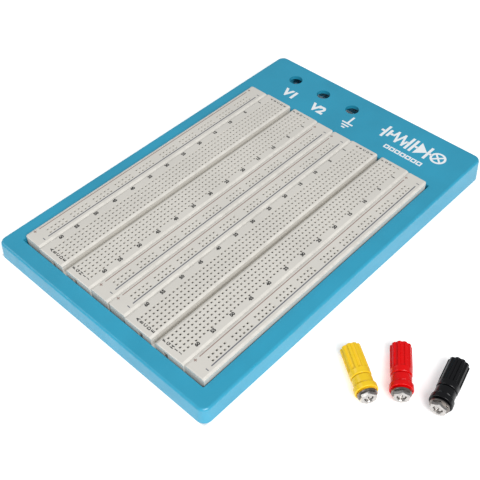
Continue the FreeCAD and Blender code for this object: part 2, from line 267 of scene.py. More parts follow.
class Finish:
    def __init__(self, name):
        self.material = bpy.data.materials.new(name)
        self.material.use_nodes = True
        self.tree = self.material.node_tree
        self.tree.nodes.clear()

    def add(self, kind, settings, sockets, output=0):
        node = self.tree.nodes.new(kind)
        for key, value in settings.items():
            if key == "stops":
                for stop, (place, colour) in zip(node.color_ramp.elements, value):
                    stop.position = place
                    stop.color = colour
            else:
                setattr(node, key, value)
        for key, value in sockets.items():
            if isinstance(value, Wire):
                self.tree.links.new(value.socket, node.inputs[key])
            else:
                node.inputs[key].default_value = value
        return Wire(self, node.outputs[output])

    def bench_place(self):
        return self.add("ShaderNodeAttribute", {"attribute_name": "on_bench"}, {}, output=1)

    def room_place(self):
        return self.add("ShaderNodeTexCoord", {}, {}, output=3)

    def noise(self, place, scale, detail=2.0, roughness=0.5):
        return self.add("ShaderNodeTexNoise", {}, {"Vector": place, "Scale": scale, "Detail": detail,
                                                   "Roughness": roughness})

    def stretched(self, place, scale):
        return self.add("ShaderNodeMapping", {}, {"Vector": place, "Scale": scale})

    def between(self, noise, low, high):
        """The noise spread so that low becomes 0 and high becomes 1."""
        return self.add("ShaderNodeMapRange", {}, {"Value": noise, "From Min": low, "From Max": high})

    def blend(self, share, first, second):
        return self.add("ShaderNodeMix", {"data_type": "RGBA"}, {0: share, 6: first, 7: second}, output=2)

    def bump(self, height, distance, strength=1.0):
        return self.add("ShaderNodeBump", {}, {"Strength": strength, "Distance": distance, "Height": height})

    def shade(self, sockets):
        """Ends the tree in one Principled shader and returns the material."""
        shader = self.add("ShaderNodeBsdfPrincipled", {}, sockets)
        end = self.tree.nodes.new("ShaderNodeOutputMaterial")
        self.tree.links.new(shader.socket, end.inputs["Surface"])
        return self.material


def tint(colour, factor):
    return tuple(min(1.0, channel * factor) for channel in colour[:3]) + (1.0,)


# %% [markdown]
# ## The plastics
#
# The tray is ABS from a spark-eroded mould: a satin skin with a grain of about a third
# of a millimetre, slightly cloudy in colour, and a little shinier where hands rub its
# edges, where its colour is also painted lighter, partly as wear and partly as a painted
# highlight. The breadboards are a matte, warmer plastic, and the posts a glossy one. All
# of them share a recipe, so one function builds it from a handful of numbers.

# %% Moulded plastic from a colour, a gloss and a grain
def moulded_plastic(name, colour, roughness, grain, depth, wear_and_highlight, cloudiness=0.05, specks=0.0, ior=1.47):
    """grain is its size in millimetres, depth its height in micrometres."""
    made = Finish(name)
    place = made.bench_place()
    clouds = made.between(made.noise(place, 0.035, 3.0), 0.35, 0.65)
    fine = made.noise(place, 1.0 / grain, 3.0, 0.6)
    skin = made.blend(clouds, tint(colour, 1 - cloudiness), tint(colour, 1 + cloudiness))
    if specks:
        dots = made.between(made.noise(place, 2.1, 1.0), 0.70, 0.78)
        skin = made.blend(dots * specks, skin, tint(colour, 0.62))
    edge = made.add("ShaderNodeAttribute", {"attribute_name": "rounded_edge"}, {}, output=2)
    # rounded edges are painted lighter here, partly rubbed wear and partly a painted highlight
    rubbed_and_highlit = edge * made.between(made.noise(place, 0.25, 4.0), 0.38, 0.62)
    skin = made.blend(rubbed_and_highlit * wear_and_highlight, skin, tint(colour, 1.35))
    smears = made.between(made.noise(made.stretched(place, (1.0, 0.22, 1.0)), 0.11, 4.0), 0.3, 0.7)
    gloss = roughness + (smears - 0.5) * 0.12 + (fine - 0.5) * 0.10 - rubbed_and_highlit * 0.10
    return made.shade({"Base Color": skin, "Roughness": gloss, "IOR": ior,
                       "Normal": made.bump(fine, depth * 1e-6)})


tray_blue = (0.022, 0.325, 0.500)
board_cream = (0.665, 0.640, 0.590)
post_colours = {"yellow": (0.900, 0.590, 0.020), "red": (0.740, 0.001, 0.002), "black": (0.004, 0.004, 0.005)}
tray_plastic = moulded_plastic("satin_tray_plastic", tray_blue, 0.40, 0.34, 14, 0.15, ior=1.62)
board_plastic = moulded_plastic("matte_board_plastic", board_cream, 0.58, 0.22, 9, 0.35, 0.03, 0.10)
post_plastics = {name: moulded_plastic("glossy_%s_plastic" % name, colour, 0.26, 0.5, 5, 0.10, 0.06, ior=1.38)
                 for name, colour in post_colours.items()}
print("plastics:", tray_plastic.name, board_plastic.name, [made.name for made in post_plastics.values()])

# %% [markdown]
# ## Metal, rubber, foam and ink
#
# Turned metal carries fine rings about its axis: noise stretched flat along two axes
# and tight along the third gives them at no cost in geometry. Rubber is dark and dull
# with a dusting of lighter bloom. The foam of the adhesive pads is a field of tiny
# cells. Ink lies in a skin far thinner than the plastic and is never quite even.

# %% Turned metal, rubber, foam and printing ink
def turned_metal(name, colour, roughness, place_of, tight):
    """tight is how many times finer the noise is along each axis, per millimetre or metre."""
    made = Finish(name)
    place = place_of(made)
    rings = made.noise(made.stretched(place, tight), 1.0, 3.0, 0.65)
    stain = made.between(made.noise(place, max(tight) * 0.06, 3.0), 0.35, 0.7)
    skin = made.blend(stain, tint(colour, 1.06), tint(colour, 0.84))
    return made.shade({"Base Color": skin, "Metallic": 1.0, "IOR": 1.5,
                       "Roughness": roughness + (rings - 0.5) * 0.22 + stain * 0.06,
                       "Normal": made.bump(rings, 6e-6)})


nickel = turned_metal("turned_nickel", (0.54, 0.52, 0.50), 0.24, Finish.bench_place, (0.9, 0.9, 9.0))
# The lock washer's steel is dark, which makes the dark band between the collar and the nut.
spring_steel = turned_metal("dark_spring_steel", (0.24, 0.22, 0.205), 0.34, Finish.bench_place,
                            (0.9, 0.9, 9.0))
brass = turned_metal("turned_brass", (0.80, 0.56, 0.25), 0.26, Finish.bench_place, (0.9, 0.9, 9.0))
contact_metal = turned_metal("stamped_contact_metal", (0.66, 0.64, 0.60), 0.30, Finish.room_place,
                             (500, 500, 4000))


def foot_rubber_finish():
    made = Finish("dull_foot_rubber")
    place = made.bench_place()
    bloom = made.between(made.noise(place, 0.6, 5.0), 0.45, 0.75)
    pores = made.noise(place, 5.0, 3.0)
    skin = made.blend(bloom, (0.016, 0.016, 0.017, 1), (0.050, 0.049, 0.047, 1))
    return made.shade({"Base Color": skin, "Roughness": 0.72 + (pores - 0.5) * 0.2, "IOR": 1.52,
                       "Normal": made.bump(pores, 2.5e-5)})


def foam_finish():
    made = Finish("cellular_foam")
    place = made.bench_place()
    cells = made.add("ShaderNodeTexVoronoi", {}, {"Vector": place, "Scale": 3.2})
    tone = made.between(made.noise(place, 0.2, 3.0), 0.3, 0.7)
    skin = made.blend(tone, (0.74, 0.73, 0.68, 1), (0.84, 0.83, 0.79, 1))
    skin = made.blend(made.between(cells, 0.0, 0.35), (0.52, 0.51, 0.47, 1), skin)
    return made.shade({"Base Color": skin, "Roughness": 0.9, "IOR": 1.4, "Normal": made.bump(cells, 1e-4)})


def ink(name, colour, patchiness):
    made = Finish(name)
    place = made.bench_place()
    patches = made.between(made.noise(place, 1.6, 4.0, 0.6), 0.35, 0.75)
    skin = made.blend(patches * patchiness, tint(colour, 1.0), tuple(0.55 * c + 0.26 for c in colour) + (1,))
    return made.shade({"Base Color": skin, "Roughness": 0.5 + patches * 0.12, "IOR": 1.48,
                       "Normal": made.bump(patches, 2e-6)})


foot_rubber = foot_rubber_finish()
foam = foam_finish()
black_ink = ink("black_ink", (0.020, 0.019, 0.018), 0.16)
red_ink = ink("red_ink", (0.300, 0.205, 0.175), 0.35)
blue_ink = ink("blue_ink", (0.120, 0.125, 0.150), 0.40)
white_ink = ink("white_ink", (0.870, 0.900, 0.920), 0.12)
print("metals, rubber, foam and inks:", nickel.name, brass.name, foam.name, black_ink.name)

# %% [markdown]
# ## The tray
#
# The tray is one moulding: a thin deck, walls that flare by three degrees so that it
# leaves its mould, a pocket for the boards, three post holes and a boss over each
# foot. It is shaped as a mould-maker would: a solid block with rounded corners, then
# the hollow, the pocket and the holes taken out. The lower rim lies level although
# the deck leans, so the block is carried onto the deck first and then cut at the rim.

# %% The tray's driving sizes, in millimetres
tray_width, tray_length = 148.0, 222.0
tray_wall = 2.2
draft = math.radians(3.0)
corner_radius, top_round = 4.5, 1.4
rim_lift = 0.8                # the lower rim clears the floor by this much
pocket_width, pocket_length, pocket_depth = 129.6, 173.6, 6.2
pocket_floor, pocket_wall = 2.0, 1.9
pocket_middle = -15.0         # along Y, on the deck
boss_radius, foot_radius, foot_height = 7.0, 5.5, 2.0
deep = 30.0                   # longer than anything it has to cut through
feet = {name[:-len("_foot_face")]: Vector(mount["pos_m"]) * 1000
        for name, mount in mounts.items() if name.endswith("_foot_face")}


# %% The block, its hollow and its pocket
def flared_block(inset, top, low, rounding=0):
    """A block with round corners whose walls flare by the draft, inset from the tray's outline."""
    bm = bmesh.new()
    half_x = tray_width / 2 - top * math.tan(draft) - inset
    half_y = tray_length / 2 - top * math.tan(draft) - inset
    bm.faces.new([bm.verts.new((x * half_x, y * half_y, top))
                  for x, y in ((-1, -1), (1, -1), (1, 1), (-1, 1))])
    bmesh.ops.bevel(bm, geom=bm.verts[:], offset=max(corner_radius - inset, 1.5), offset_type="OFFSET",
                    affect="VERTICES", segments=10, profile=0.5, material=-1)
    low_end = pushed(bm, next(iter(bm.faces)), (0, 0, low - top))
    flare = (top - low) * math.tan(draft)
    bmesh.ops.scale(bm, verts=low_end, vec=((half_x + flare) / half_x, (half_y + flare) / half_y, 1))
    bmesh.ops.recalc_face_normals(bm, faces=bm.faces)
    if rounding:
        rim = [edge for edge in bm.edges if min(vertex.co.z for vertex in edge.verts) > top - 0.01]
        bmesh.ops.bevel(bm, geom=rim, offset=rounding, offset_type="OFFSET", affect="EDGES", segments=6,
                        profile=0.5, material=-1)
    return bm


def cut_at_rim(bm):
    """Carries a block onto the deck, cuts it level at the lower rim and closes it."""
    bm.transform(deck)
    everything = bm.verts[:] + bm.edges[:] + bm.faces[:]
    cut = bmesh.ops.bisect_plane(bm, geom=everything, plane_co=(0, 0, rim_lift), plane_no=(0, 0, -1),
                                 clear_outer=True)["geom_cut"]
    bmesh.ops.edgenet_fill(bm, edges=[item for item in cut if isinstance(item, bmesh.types.BMEdge)])
    bmesh.ops.recalc_face_normals(bm, faces=bm.faces)
    return bm


def on_deck(bm):
    bm.transform(deck)
    return bm


def deck_at(y):
    return deck_height + y * math.tan(deck_lean)


half_x, half_y = pocket_width / 2, pocket_length / 2
front, back = pocket_middle - half_y, pocket_middle + half_y
tray_blank = cut_at_rim(flared_block(0, 0, -deep, top_round))
hollow = flared_block(tray_wall, -deck_thickness, -deep - 1)
well = block(-half_x - pocket_wall, half_x + pocket_wall, front - pocket_wall, back + pocket_wall,
             -pocket_depth - pocket_floor, 5)
hollow = on_deck(worked(hollow, ("DIFFERENCE", well)))
pocket = soften(block(-half_x, half_x, front, back, -pocket_depth, 10), 0.6, 3)
holes = [deck.inverted() @ (Vector(mounts[name]["pos_m"]) * 1000) for name in hole_names]
pins = gathered(*(rod(mounts[name]["dims"]["r_mm"], -deep / 2, deep / 2, place.xy, 64)
                  for name, place in zip(hole_names, holes)))
bosses = gathered(*(rod(boss_radius, rim_lift, deck_at(spot.y) - 1, spot.xy) for spot in feet.values()))
seats = gathered(*(rod(foot_radius + 0.03, rim_lift - 1, foot_height, spot.xy) for spot in feet.values()))
tray = worked(tray_blank, ("DIFFERENCE", hollow), ("UNION", bosses), ("DIFFERENCE", on_deck(pocket)),
              ("DIFFERENCE", on_deck(pins)), ("DIFFERENCE", seats))
bmesh.ops.dissolve_limit(tray, angle_limit=math.radians(0.2), verts=tray.verts, edges=tray.edges)
piece("tray_moulding", soften(tray, 0.25, 2, 50), Matrix(), "base", tray_plastic,
      ["base_tray"])
print("tray_moulding:", made_triangles["tray_moulding"], "triangles")

# %% [markdown]
# ## The terminal strips
#
# A terminal strip has two banks of 64 rows, five holes to a row, either side of a
# groove that lets a chip straddle it. Every hole is a small square funnel that guides
# a lead down to a spring contact in a slot below. One funnel pin and one slot bar are
# copied over the standard 2.54 mm grid and cut away, just as a mould's core forms
# them, and each pin has only twenty faces because there are 640 of them in a strip.

# %% The grid and the strips' driving sizes
pitch = 2.54
rows, bank_holes = 64, 5
bank_gap = 3 * pitch          # from the last hole of one bank to the first of the other
bank_middle = bank_gap / 2 + (bank_holes - 1) * pitch / 2
strip_height = 8.5
proud = 3.1                   # the strips' tops stand this far above the deck
strip_bottom = proud - strip_height
terminal_width, terminal_length = 39.2, 172.0
bus_width, bus_length = 12.4, 171.0
chip_groove = [(5.2, 0), (2.9, 0.7), (2.8, 5.0)]      # (width, depth)
roof = 0.9                    # plastic over the slots
slot_width, slot_end_room = 1.7, 1.35
# each level of a funnel pin: half its width, and its height above the strip's top
funnel_levels = [(0.84, 0.1), (0.72, -0.07), (0.475, -0.5), (0.475, -roof - 0.05)]
end_notch_places = (-8.8, 8.0)
notch_width, notch_depth, notch_below_top = 3.0, 3.5, 1.8
dovetail_places = (-60.0, 0.0, 60.0)
dovetail_neck, dovetail_head, dovetail_reach, dovetail_height = 4.0, 5.2, 1.2, 5.0
dovetail_room = 0.06
sliver = 0.05                 # how far a joined shape sinks into the one it stands on
row_places = [(row - (rows - 1) / 2) * pitch for row in range(rows)]
hole_columns = [(column - (bank_holes - 1) / 2) * pitch for column in range(bank_holes)]


def strip_blank(width, length, groove=()):
    """A strip with long bevels along its top. A groove is the (width, depth) of each of its
    levels, from its chamfered lips down to its floor."""
    half, across, down = width / 2, 1.3, 0.55
    section = [(-half, 0), (half, 0), (half, strip_height - down), (half - across, strip_height)]
    section += [(wide / 2, strip_height - depth) for wide, depth in groove]
    section += [(-wide / 2, strip_height - depth) for wide, depth in reversed(groove)]
    section += [(across - half, strip_height), (-half, strip_height - down)]
    bm = prism([(x, -length / 2, z) for x, z in section], (0, length, 0))
    ends = [edge for edge in bm.edges if abs(edge.verts[0].co.y - edge.verts[1].co.y) < 0.01
            and min(vertex.co.z for vertex in edge.verts) > strip_height - down - 0.01]
    bmesh.ops.bevel(bm, geom=ends, offset=0.4, offset_type="OFFSET", affect="EDGES", segments=3, profile=0.5,
                    material=-1, clamp_overlap=True)
    return soften(bm, 0.22, 2, 18)


def funnel_pin():
    """The pin that forms one hole: a lip, a funnel and a square throat."""
    profile = [(half * math.sqrt(2), strip_height + height) for half, height in funnel_levels]
    bm = turned([(0, profile[0][1])] + profile + [(0, profile[-1][1])], 4)
    bm.transform(Matrix.Rotation(math.pi / 4, 4, "Z"))
    return bm


def dovetails(at_x, side, extra):
    """Three dovetails standing on the plane x = at_x and pointing along +X or -X."""
    neck, head = dovetail_neck / 2 + extra, dovetail_head / 2 + extra
    root, tip = at_x - side * sliver, at_x + side * (dovetail_reach + extra)
    first = dovetail_places[0]
    plan = [(root, first - neck), (tip, first - head), (tip, first + head), (root, first + neck)]
    return copied(plate(plan, -extra, dovetail_height + extra),
                  [(0, place - first, 0) for place in dovetail_places[1:]])


def moved(bm, x, y, z=0.0):
    bmesh.ops.translate(bm, verts=bm.verts, vec=(x, y, z))
    return bm


# %% The terminal strip: notches, dovetail slots, contact slots and funnels cut away
first_column = -bank_middle + hole_columns[0]
both_banks = [(0, 0, 0), (2 * bank_middle, 0, 0)]
every_row = [(0, row * pitch, 0) for row in range(1, rows)]
half_slot = hole_columns[-1] + slot_end_room
slot = block(-half_slot, half_slot, -slot_width / 2, slot_width / 2, -1, strip_height - roof)
slots = copied(copied(moved(slot, -bank_middle, row_places[0]), both_banks[1:]), every_row)
funnels = copied(moved(funnel_pin(), first_column, row_places[0]),
                 [(column - hole_columns[0], 0, 0) for column in hole_columns[1:]])
funnels = copied(copied(funnels, both_banks[1:]), every_row)
strip_end, notch_top = -terminal_length / 2, strip_height - notch_below_top
notches = gathered(*(block(x - notch_width / 2, x + notch_width / 2, strip_end - 1, strip_end + notch_depth,
                           -1, notch_top) for x in end_notch_places))
half = terminal_width / 2
terminal = worked(strip_blank(terminal_width, terminal_length, chip_groove), ("DIFFERENCE", notches),
                  ("DIFFERENCE", dovetails(-half, 1, dovetail_room)),
                  ("DIFFERENCE", dovetails(half, -1, dovetail_room)),
                  ("DIFFERENCE", slots), ("DIFFERENCE", funnels))
board_middles = {"left": -(half + bus_width), "right": half + bus_width}
# the funnels' small sides get neither the rubbed wear nor the painted highlight of the rounded edges
smallest_long_bevel = 1.0     # square millimetres, so that the funnels' small sides count as unworn
for side, middle in board_middles.items():
    place = deck @ Matrix.Translation((middle, pocket_middle, strip_bottom))
    piece(side + "_terminal_moulding", terminal.copy(), place, "base", board_plastic,
          [side + "_terminal_strip"], smallest_worn_and_highlit=smallest_long_bevel)
terminal.free()
print("each terminal strip:", made_triangles["left_terminal_moulding"], "triangles")

# %% [markdown]
# ## The bus strips
#
# A bus strip carries two long rails of power holes in ten groups of five. It hooks
# onto the terminal strip beside it with three dovetails, and one of its outer corners
# is rounded. All four are the same moulding: the right-hand ones are simply turned
# half round, so the mesh is made once and laid down four times.

# %% The bus strip and its four places
groups, group_holes, group_step = 10, 5, 6 * pitch
channel_width, channel_end_room = 1.9, 1.7
round_corner = 2.0


def bus_hole_places():
    """Y of the fifty holes of a column: the step across the middle is one row longer."""
    span = (groups - 1) * group_step + pitch + (group_holes - 1) * pitch
    starts = [-span / 2 + group * group_step + (pitch if group >= groups // 2 else 0)
              for group in range(groups)]
    return [start + hole * pitch for start in starts for hole in range(group_holes)]


bus_places = bus_hole_places()
other_column = [(pitch, 0, 0)]
channel = block((-pitch - channel_width) / 2, (channel_width - pitch) / 2, bus_places[0] - channel_end_room,
                bus_places[-1] + channel_end_room, -1, strip_height - roof)
channels = copied(channel, other_column)
hair = 0.001                  # keeps the pins' ends off the channels' roofs
bus_pins = copied(moved(funnel_pin(), -pitch / 2, bus_places[0], -hair),
                  [(0, place - bus_places[0], 0) for place in bus_places[1:]])
bus_pins = copied(bus_pins, other_column)
corner_x, corner_y = -bus_width / 2, -bus_length / 2
centre = (corner_x + round_corner, corner_y + round_corner)
corner_tool = worked(block(corner_x - 1, centre[0], corner_y - 1, centre[1], -1, 10),
                     ("DIFFERENCE", rod(round_corner, -2, 11, centre)))
bus = worked(strip_blank(bus_width, bus_length), ("DIFFERENCE", corner_tool),
             ("UNION", dovetails(bus_width / 2, 1, 0.0)), ("DIFFERENCE", channels), ("DIFFERENCE", bus_pins))
bus_step = (terminal_width + bus_width) / 2
for side, middle in board_middles.items():
    for end, step, turn in (("left", -bus_step, 0), ("right", bus_step, math.pi)):
        place = deck @ Matrix.Translation((middle + step, pocket_middle, strip_bottom))
        place = place @ Matrix.Rotation(turn, 4, "Z")
        name = "%s_board_%s_bus_" % (side, end)
        piece(name + "moulding", bus.copy(), place, "base", board_plastic, [name + "strip"],
              smallest_worn_and_highlit=smallest_long_bevel)
bus.free()
print("each bus strip:", made_triangles["left_board_left_bus_moulding"], "triangles")

# %% [markdown]
# ## Contacts, foam pads and rubber feet
#
# The spring contacts are stamped metal and their frame shapes are already right, so
# they only take a finish. The double-sided foam under each board is a soft slab with
# rounded sides, and the feet are turned rubber discs with a dished face, which is why
# a real foot grips by its rim.

# %% Contacts, pads and feet
for name, node in frame["nodes"].items():
    if "clips" in name or "rails" in name:
        node.data.materials.clear()
        node.data.materials.append(contact_metal)

pad_thickness, pad_inset = 0.8, 0.3
dish_depth, dish_floor, dish_rim = 0.35, 3.2, 4.0
for side, middle in board_middles.items():
    wide = terminal_width + 2 * bus_width - 2 * pad_inset
    pad = soften(block(-wide / 2, wide / 2, -bus_length / 2, bus_length / 2, -pad_thickness, 0), 0.25, 3)
    place = deck @ Matrix.Translation((middle, pocket_middle, strip_bottom))
    piece(side + "_foam_pad", pad, place, "base", foam, [side + "_adhesive_pad"])

for name, spot in feet.items():
    disc = turned([(0, dish_depth), (dish_floor, dish_depth), (dish_rim, 0), (foot_radius, 0),
                   (foot_radius, foot_height), (0, foot_height)])
    piece(name + "_foot", soften(disc, 0.3, 3), Matrix.Translation(spot), "base", foot_rubber,
          [name + "_rubber_foot"])
print("feet at", [tuple(round(value) for value in spot.xy) for spot in feet.values()])

# %% [markdown]
# ## The binding posts
#
# A binding post is a threaded metal stud through a plastic collar, with a knob that
# screws down on a bare wire, and a washer and nut behind the panel. Every one of its
# pieces is turned on a lathe or moulded round, so each is a profile spun about the
# post's axis. Heights are measured along the post: 0 where the collar meets the
# panel, rising towards the knob. The frame's mounts say where each post lies.

# %% A post's place, and its driving sizes in millimetres
collar_length, stud_radius, barrel_radius = 7.2, 2.0, 2.9
flange_radius, flange_thickness = 4.0, 1.0
knob_bottom, knob_top, knob_radius, skirt_length = 7.6, 24.2, 5.1, 2.6
insert_bottom, insert_top, insert_radius = 7.8, 14.0, 3.8
running_gap = 0.04
boss_length, washer_thickness, nut_thickness = 0.8, 0.8, 2.0
thread_pitch, thread_depth = 0.75, 0.2


def post_place(colour):
    """From post heights along Z to the post as it lies, from its panel seat."""
    seat = mounts[colour + "_panel_seat"]
    along = -Vector(seat["axis"])
    heading = Matrix.Rotation(math.atan2(along.y, along.x), 4, "Z")
    return Matrix.Translation(Vector(seat["pos_m"]) * 1000) @ heading @ Matrix.Rotation(math.pi / 2, 4, "Y")


def thread_ridge(core, crest, low, high):
    """A helical ridge: a small triangle carried round the axis and up by one pitch a turn."""
    bm = bmesh.new()
    sunk = core - 0.12
    corners = [bm.verts.new((radius, 0, low + height))
               for radius, height in ((sunk, 0.06), (crest, 0.33), (crest, 0.42), (sunk, 0.69))]
    start = bm.faces.new(corners)
    turns = (high - low - thread_pitch) / thread_pitch
    steps = int(turns * 24)
    bmesh.ops.spin(bm, geom=[start], axis=(0, 0, 1), cent=(0, 0, 0), angle=turns * 2 * math.pi,
                   dvec=(0, 0, turns * thread_pitch / steps), steps=steps)
    bmesh.ops.recalc_face_normals(bm, faces=bm.faces)
    return bm


# %% The stud: shank, flange, threaded barrel, plug socket, wire hole and slotted end
def stud_shape():
    flange_low = collar_length - flange_thickness
    core = barrel_radius - thread_depth
    end, top, socket_radius, socket_depth = -2.9, 22.0, 2.05, 10.5
    wire_hole_radius, wire_hole_height = 0.9, 9.2
    socket_floor, slit_width, slit_depth = top - socket_depth, 0.8, 0.8
    body = turned([(0, end), (stud_radius - 0.4, end), (stud_radius, end + 0.4), (stud_radius, flange_low),
                   (flange_radius, flange_low), (flange_radius, collar_length), (core, collar_length),
                   (core, top), (0, top)], 64)
    soften(body, 0.12, 2, 40)
    ridge = thread_ridge(core, barrel_radius, collar_length + 0.1, top - 0.2)
    socket = turned([(0, socket_floor - 0.8), (socket_radius, socket_floor), (socket_radius, top - 0.3),
                     (socket_radius + 0.5, top + 0.2), (0, top + 0.2)], 48)
    cross = rod(wire_hole_radius, -10, 10)
    cross.transform(Matrix.Translation((0, 0, wire_hole_height)) @ Matrix.Rotation(math.pi / 2, 4, "Y"))
    slit = block(-3, 3, -slit_width / 2, slit_width / 2, end - 1, end + slit_depth)
    return worked(body, ("UNION", ridge), ("DIFFERENCE", socket), ("DIFFERENCE", cross), ("DIFFERENCE", slit))


# %% The collar, with its bright foot ring, groove and recess
def collar_shape():
    outer, neck, foot_ring, groove = 5.5, 4.8, 2.7, 0.45
    boss, recess, recess_depth = 4.0, 4.8, 0.7
    bore, flange_bore = stud_radius + 0.03, flange_radius + 0.03
    flange_low = collar_length - flange_thickness
    profile = [(bore, -boss_length), (boss, -boss_length), (boss, recess_depth), (recess, recess_depth),
               (recess, 0), (outer, 0),
               (outer, foot_ring), (neck - 0.25, foot_ring), (neck - 0.25, foot_ring + groove),
               (neck, foot_ring + groove + 0.15), (neck, collar_length), (flange_bore, collar_length),
               (flange_bore, flange_low), (bore, flange_low)]
    bm = turned(profile, 72)
    rims = [edge for edge in bm.edges if edge.calc_face_angle() > math.radians(40)
            and min(vertex.co.xy.length for vertex in edge.verts) > neck - 0.05
            and max(vertex.co.xy.length + vertex.co.z for vertex in edge.verts) > outer - 0.05]
    bmesh.ops.bevel(bm, geom=rims, offset=0.45, offset_type="OFFSET", affect="EDGES", segments=4, profile=0.5,
                    material=-1, clamp_overlap=True)
    return bm


# %% The knob: a smooth skirt, a slight waist and ten flutes that leave a scalloped crown
def knob_shape():
    bore = insert_radius + running_gap
    step, roof_low, mouth, inner = insert_top + 0.05, knob_top - 1.6, 2.8, 3.25
    waist = knob_bottom + skirt_length
    body = turned([(bore, knob_bottom), (knob_radius - 0.1, knob_bottom), (knob_radius - 0.1, waist - 0.3),
                   (knob_radius, waist), (knob_radius, knob_top), (mouth, knob_top), (mouth, roof_low),
                   (inner, roof_low), (inner, step), (bore, step)], 120)
    rims = [edge for edge in body.edges if edge.calc_face_angle() > math.radians(40)
            and min(vertex.co.xy.length for vertex in edge.verts) > knob_radius - 0.2]
    bmesh.ops.bevel(body, geom=rims, offset=0.5, offset_type="OFFSET", affect="EDGES", segments=4,
                    profile=0.5, material=-1, clamp_overlap=True)
    flutes, flute_radius, flute_depth = 10, 1.1, 0.8
    reach = knob_radius + flute_radius - flute_depth
    cutters = []
    for count in range(flutes):
        turn = 2 * math.pi * count / flutes
        cutters.append(rod(flute_radius, waist + 0.4, knob_top + 2,
                           (reach * math.cos(turn), reach * math.sin(turn)), 32))
    fluted = worked(body, ("DIFFERENCE", gathered(*cutters)))
    bmesh.ops.dissolve_limit(fluted, angle_limit=math.radians(0.5), verts=fluted.verts, edges=fluted.edges)
    return soften(fluted, 0.16, 2, 38)


# %% The brass insert, the split washer and the nut
def insert_shape():
    bore = barrel_radius + running_gap
    return soften(turned([(bore, insert_bottom), (insert_radius, insert_bottom), (insert_radius, insert_top),
                          (bore, insert_top)], 64), 0.15)


def washer_shape():
    low, high = -boss_length - washer_thickness, -boss_length
    bore, outer, slit_width, slit_turn = 2.1, 4.6, 0.7, math.radians(30)
    ring = soften(turned([(bore, low), (outer, low), (outer, high), (bore, high)], 64), 0.1)
    slit = block(0, 10, -slit_width / 2, slit_width / 2, low - 1, high + 1)
    slit.transform(Matrix.Rotation(slit_turn, 4, "Z"))
    return worked(ring, ("DIFFERENCE", slit))


def nut_shape():
    """A hexagon met by a cone at each end, which gives the curved chamfers of a real nut."""
    top = -boss_length - washer_thickness
    low = top - nut_thickness
    across_flats, chamfer = 7.0, 0.35
    corner = across_flats / math.sqrt(3)
    turns = [math.radians(60 * side) for side in range(6)]
    plan = [(corner * math.cos(turn), corner * math.sin(turn)) for turn in turns]
    cone = turned([(0, low), (corner - 0.5, low), (corner + 0.02, low + 0.3), (corner + 0.02, top - 0.3),
                   (corner - 0.5, top), (0, top)], 72)
    bore = stud_radius + 0.03
    flared = bore + chamfer + 1
    hole = turned([(0, low - 1), (flared, low - 1), (bore, low + chamfer), (bore, top - chamfer),
                   (flared, top + 1), (0, top + 1)], 48)
    return soften(worked(plate(plan, low, top), ("INTERSECT", cone), ("DIFFERENCE", hole)), 0.07, 2, 40)


# %% Every post laid in its place, each piece on the body that carries it
post_shapes = {"stud": stud_shape(), "collar": collar_shape(), "lock_washer": washer_shape(),
               "hex_nut": nut_shape(), "knob_insert": insert_shape(), "knob": knob_shape()}
carried_by = {"knob_insert": "_knob_nut", "knob": "_knob"}
metals = {"stud": (nickel, "nickel"), "lock_washer": (spring_steel, "spring_steel"),
          "hex_nut": (nickel, "nickel"), "knob_insert": (brass, "brass")}
for colour, plastic in post_plastics.items():
    for part, shape in post_shapes.items():
        finish, slot = metals.get(part, (plastic, colour + "_plastic"))
        body = colour + carried_by.get(part, "_post")
        piece(colour + "_" + part, shape.copy(), post_place(colour), body, finish,
              [colour + "_post_" + part])
for shape in post_shapes.values():
    shape.free()
print("post pieces:", {part: made_triangles["red_" + part] for part in post_shapes})

# %% [markdown]
# ## Printing on the boards
#
# Row numbers and column letters are printed beside the holes, and a line runs down
# each side of a bus strip with a plus or a minus at its ends. Ink could be painted in
# the material, but then every position would be buried in shader maths. Thin plates
# of ink are easier to place, print sharply at any distance, and export as geometry.

# %% Letters and lines as thin plates of ink
ink_low, ink_high = -0.02, 0.025


def lettering(text, height, x, y, turn=90, weight=0.035):
    """A word centred on (x, y), with capitals of the given height, turned anticlockwise.
    weight thickens every stroke, as a share of the type's size."""
    curve = bpy.data.curves.new("lettering", "FONT")
    curve.body = text
    curve.align_x, curve.align_y = "CENTER", "CENTER"
    curve.extrude = (ink_high - ink_low) / 2
    curve.resolution_u = 3
    curve.offset = weight
    written = bpy.data.objects.new("lettering", curve)
    bpy.context.scene.collection.objects.link(written)
    mesh = bpy.data.meshes.new_from_object(written)
    bpy.data.curves.remove(curve)
    bm = bmesh.new()
    bm.from_mesh(mesh)
    bpy.data.meshes.remove(mesh)
    bmesh.ops.remove_doubles(bm, verts=bm.verts, dist=1e-4)
    low = Vector(min(vertex.co[axis] for vertex in bm.verts) for axis in range(3))
    high = Vector(max(vertex.co[axis] for vertex in bm.verts) for axis in range(3))
    size = height / (high.y - low.y)
    place = Matrix.Translation((x, y, (ink_low + ink_high) / 2)) @ Matrix.Rotation(math.radians(turn), 4, "Z")
    bm.transform(place @ Matrix.Diagonal((size, size, 1, 1)) @ Matrix.Translation(-(low + high) / 2))
    return bm


def bar(x0, x1, y0, y1):
    return block(x0, x1, y0, y1, ink_low, ink_high)


